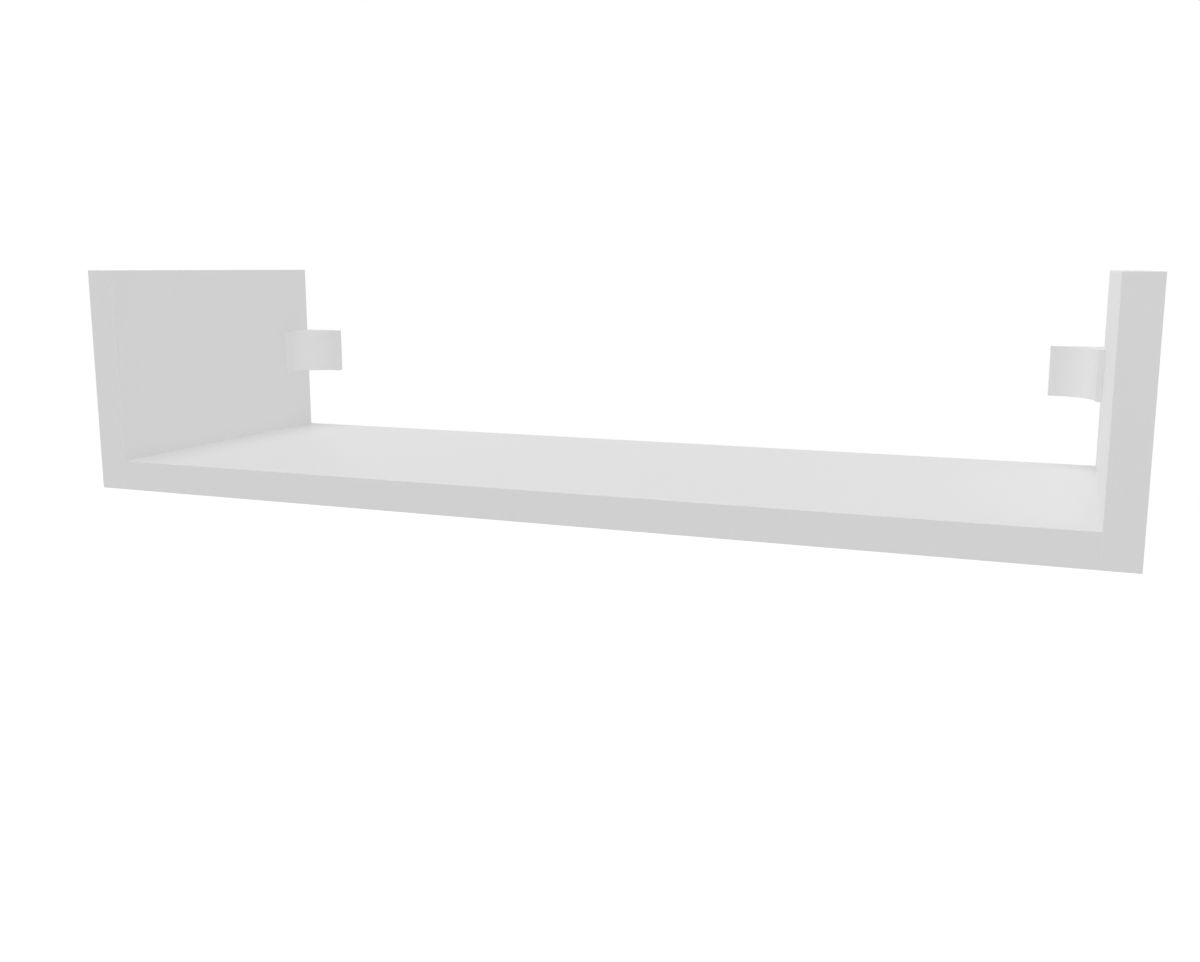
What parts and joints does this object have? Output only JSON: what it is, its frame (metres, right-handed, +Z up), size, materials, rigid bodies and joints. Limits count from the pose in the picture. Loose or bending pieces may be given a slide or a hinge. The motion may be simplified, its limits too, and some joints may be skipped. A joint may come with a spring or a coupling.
{
  "type": "floating wall shelf",
  "caption": "U-shaped floating wall shelf: a flat board between low upright ends, hung from the wall by angle brackets under hollow-fronted corner covers.",
  "frame": {"origin": "on the wall plane, half way between the two wall screw holes, at the middle height of the brackets", "axes": "+X to the right seen from the room, +Y into the wall, +Z up"},
  "size_m": [0.6, 0.2, 0.135],
  "materials": {
    "white_melamine": "white melamine-faced chipboard, satin, very fine pearl texture",
    "white_edging": "white ABS edge band, satin",
    "white_plastic": "white moulded plastic, fine spark-eroded texture",
    "plated_steel": "bright zinc plating",
    "die_cast_zinc": "tumbled die-cast zinc, dull grey",
    "beech": "raw turned beech"
  },
  "bodies": {
    "carcass": {"bottom_board": "white_melamine", "left_side_board": "white_melamine", "right_side_board": "white_melamine", "bottom_front_edging": "white_edging", "bottom_back_edging": "white_edging", "left_front_edging": "white_edging", "left_back_edging": "white_edging", "left_top_edging": "white_edging", "left_foot_edging": "white_edging", "left_front_dowel": "beech", "left_front_cam_bolt": "plated_steel", "left_back_dowel": "beech", "left_back_cam_bolt": "plated_steel", "left_bracket": "plated_steel", "left_upper_bracket_screw": "plated_steel", "left_lower_bracket_screw": "plated_steel", "right_front_edging": "white_edging", "right_back_edging": "white_edging", "right_top_edging": "white_edging", "right_foot_edging": "white_edging", "right_front_dowel": "beech", "right_front_cam_bolt": "plated_steel", "right_back_dowel": "beech", "right_back_cam_bolt": "plated_steel", "right_bracket": "plated_steel", "right_upper_bracket_screw": "plated_steel", "right_lower_bracket_screw": "plated_steel"},
    "left_cover": {"left_bracket_cover": "white_plastic"},
    "left_front_cam_lock": {"left_front_cam": "die_cast_zinc"},
    "left_back_cam_lock": {"left_back_cam": "die_cast_zinc"},
    "right_cover": {"right_bracket_cover": "white_plastic"},
    "right_front_cam_lock": {"right_front_cam": "die_cast_zinc"},
    "right_back_cam_lock": {"right_back_cam": "die_cast_zinc"}
  },
  "joints": [
    {"name": "left_cover_pull", "type": "slide", "parent": "carcass", "child": "left_cover", "axis": [0.7071, -0.7071, 0], "range_m": [0, 0.04]},
    {"name": "right_cover_pull", "type": "slide", "parent": "carcass", "child": "right_cover", "axis": [-0.7071, -0.7071, 0], "range_m": [0, 0.04]},
    {"name": "left_front_cam_turn", "type": "hinge", "parent": "carcass", "child": "left_front_cam_lock", "pos_m": [-0.248, -0.163, -0.0748], "axis": [0, 0, -1], "range_deg": [0, 180]},
    {"name": "left_back_cam_turn", "type": "hinge", "parent": "carcass", "child": "left_back_cam_lock", "pos_m": [-0.248, -0.037, -0.0748], "axis": [0, 0, -1], "range_deg": [0, 180]},
    {"name": "right_front_cam_turn", "type": "hinge", "parent": "carcass", "child": "right_front_cam_lock", "pos_m": [0.248, -0.163, -0.0748], "axis": [0, 0, -1], "range_deg": [0, 180]},
    {"name": "right_back_cam_turn", "type": "hinge", "parent": "carcass", "child": "right_back_cam_lock", "pos_m": [0.248, -0.037, -0.0748], "axis": [0, 0, -1], "range_deg": [0, 180]}
  ]
}
